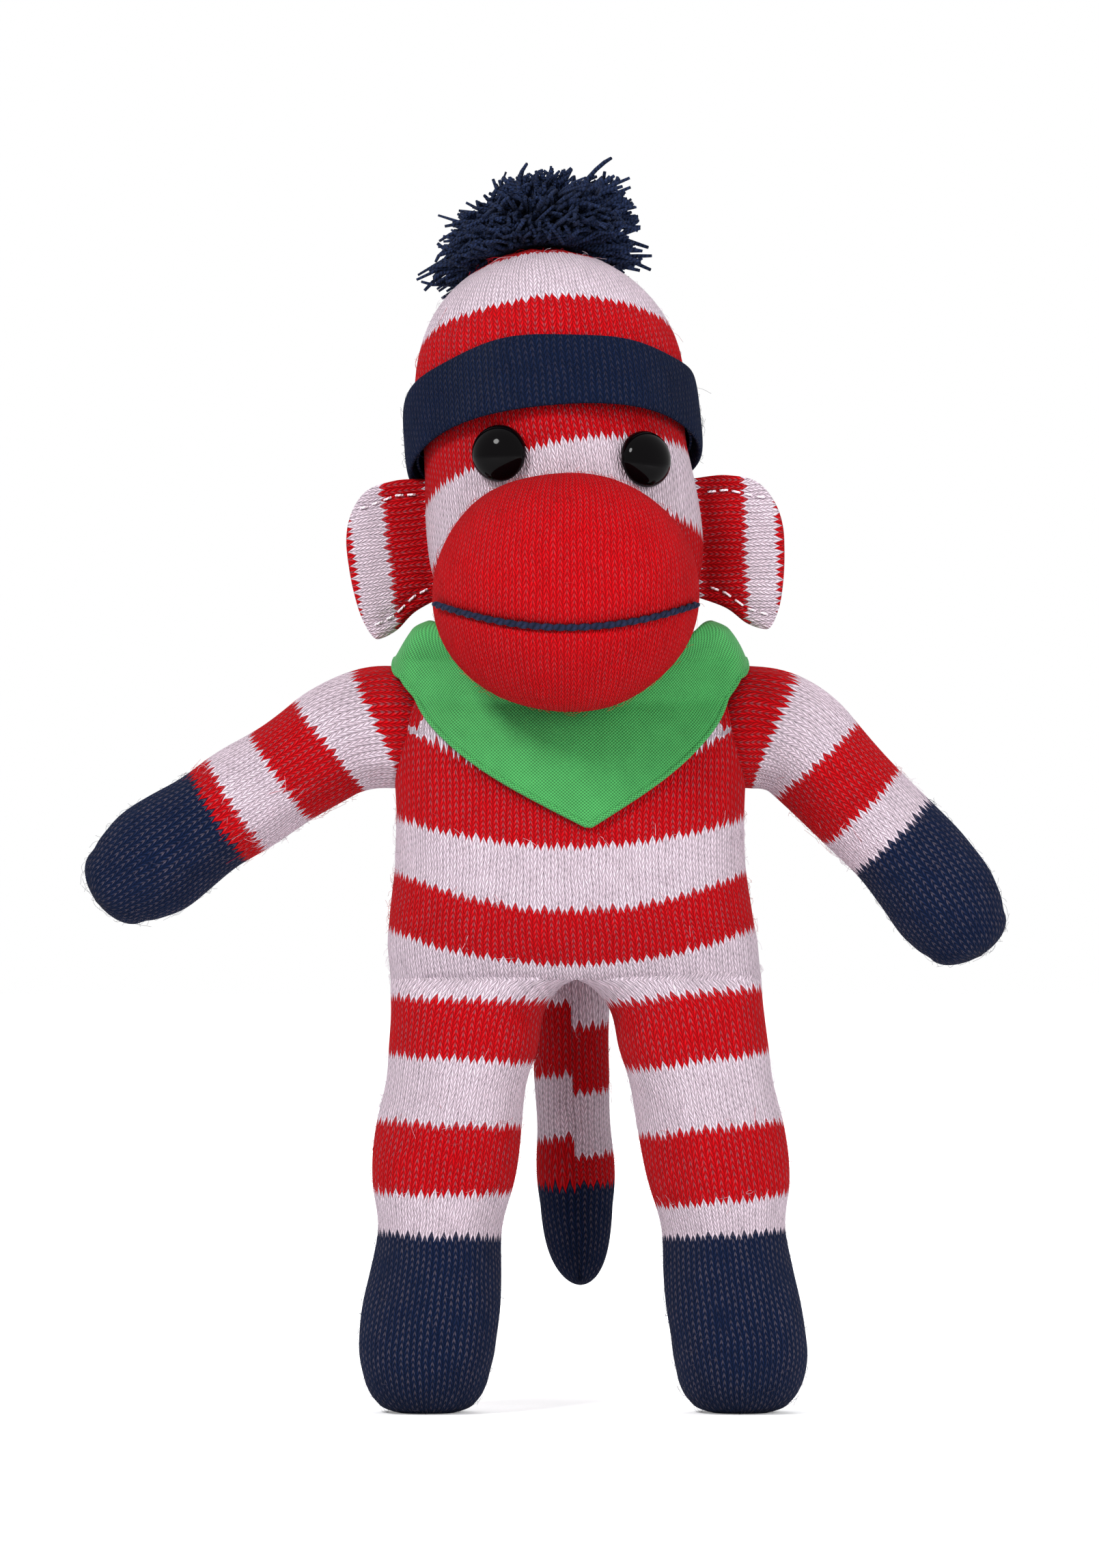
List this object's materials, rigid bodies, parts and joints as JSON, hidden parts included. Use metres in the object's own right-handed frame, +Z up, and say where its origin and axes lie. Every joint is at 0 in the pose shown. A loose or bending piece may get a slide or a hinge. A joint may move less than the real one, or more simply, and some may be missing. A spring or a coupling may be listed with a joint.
{
  "type": "sock monkey doll",
  "caption": "Stuffed knitted sock monkey doll with striped limbs, round muzzle, bead eyes, a pompom hat and a bandana; head, arms, legs, tail and ears move.",
  "frame": {"origin": "on the floor under the middle of the doll's bounding box, with both soles on z = 0", "axes": "+Z up along the standing doll, the face looks along -Y, the doll spreads its arms along X"},
  "size_m": [0.1596, 0.0774, 0.2171],
  "materials": {
    "red_knit": "matte stockinette knit in red acrylic yarn, striped with white",
    "muzzle_knit": "matte plain red stockinette knit, pulled tight over stuffing",
    "white_knit": "matte white stockinette knit, striped with red",
    "navy_knit": "matte navy stockinette knit",
    "navy_yarn": "matte cut yarn, navy",
    "green_mesh": "fine green warp-knit mesh, slight sheen",
    "black_plastic": "polished black, moulded safety eye",
    "washer_plastic": "moulded natural nylon"
  },
  "bodies": {
    "torso": {"torso": "red_knit", "bandana": "green_mesh"},
    "head": {"head": "red_knit", "hat_crown": "white_knit", "hat_cuff": "navy_knit", "pompom": "navy_yarn", "pompom_tie": "navy_yarn", "muzzle": "muzzle_knit", "mouth_yarn": "navy_yarn", "eye_left": "black_plastic", "eye_right": "black_plastic", "eye_washer_left": "washer_plastic", "eye_washer_right": "washer_plastic"},
    "arm_left": {"arm_left": "red_knit", "hand_left": "navy_knit"},
    "arm_right": {"arm_right": "red_knit", "hand_right": "navy_knit"},
    "leg_left": {"leg_left": "white_knit", "foot_left": "navy_knit"},
    "leg_right": {"leg_right": "white_knit", "foot_right": "navy_knit"},
    "tail": {"tail": "red_knit", "tail_tip": "navy_knit"},
    "ear_left": {"ear_left": "red_knit"},
    "ear_right": {"ear_right": "red_knit"}
  },
  "joints": [
    {"name": "head_nod", "type": "hinge", "parent": "torso", "child": "head", "pos_m": [0.00418, 0.00702, 0.134], "axis": [-1, 0, 0], "range_deg": [-3, 15], "stiffness_Nm_per_rad": 0.08},
    {"name": "arm_left_swing", "type": "hinge", "parent": "torso", "child": "arm_left", "pos_m": [-0.02668, 0.00602, 0.1185], "axis": [-1, 0, 0], "range_deg": [-60, 90], "stiffness_Nm_per_rad": 0.01},
    {"name": "arm_right_swing", "type": "hinge", "parent": "torso", "child": "arm_right", "pos_m": [0.03505, 0.00602, 0.1185], "axis": [-1, 0, 0], "range_deg": [-60, 90], "stiffness_Nm_per_rad": 0.01},
    {"name": "leg_left_swing", "type": "hinge", "parent": "torso", "child": "leg_left", "pos_m": [-0.01222, -0.00598, 0.075], "axis": [-1, 0, 0], "range_deg": [0, 85], "stiffness_Nm_per_rad": 0.04},
    {"name": "leg_right_swing", "type": "hinge", "parent": "torso", "child": "leg_right", "pos_m": [0.02258, -0.00598, 0.075], "axis": [-1, 0, 0], "range_deg": [0, 85], "stiffness_Nm_per_rad": 0.04},
    {"name": "tail_lift", "type": "hinge", "parent": "torso", "child": "tail", "pos_m": [0.00418, 0.0255, 0.0937], "axis": [1, 0, 0], "range_deg": [0, 80], "stiffness_Nm_per_rad": 0.003},
    {"name": "ear_left_fold", "type": "hinge", "parent": "head", "child": "ear_left", "pos_m": [-0.0206, 0.00702, 0.14909], "axis": [-0.125, 0, 0.9922], "range_deg": [-25, 40], "stiffness_Nm_per_rad": 0.002},
    {"name": "ear_right_fold", "type": "hinge", "parent": "head", "child": "ear_right", "pos_m": [0.02748, 0.00702, 0.14935], "axis": [0.0281, 0, -0.9996], "range_deg": [-25, 40], "stiffness_Nm_per_rad": 0.002}
  ]
}
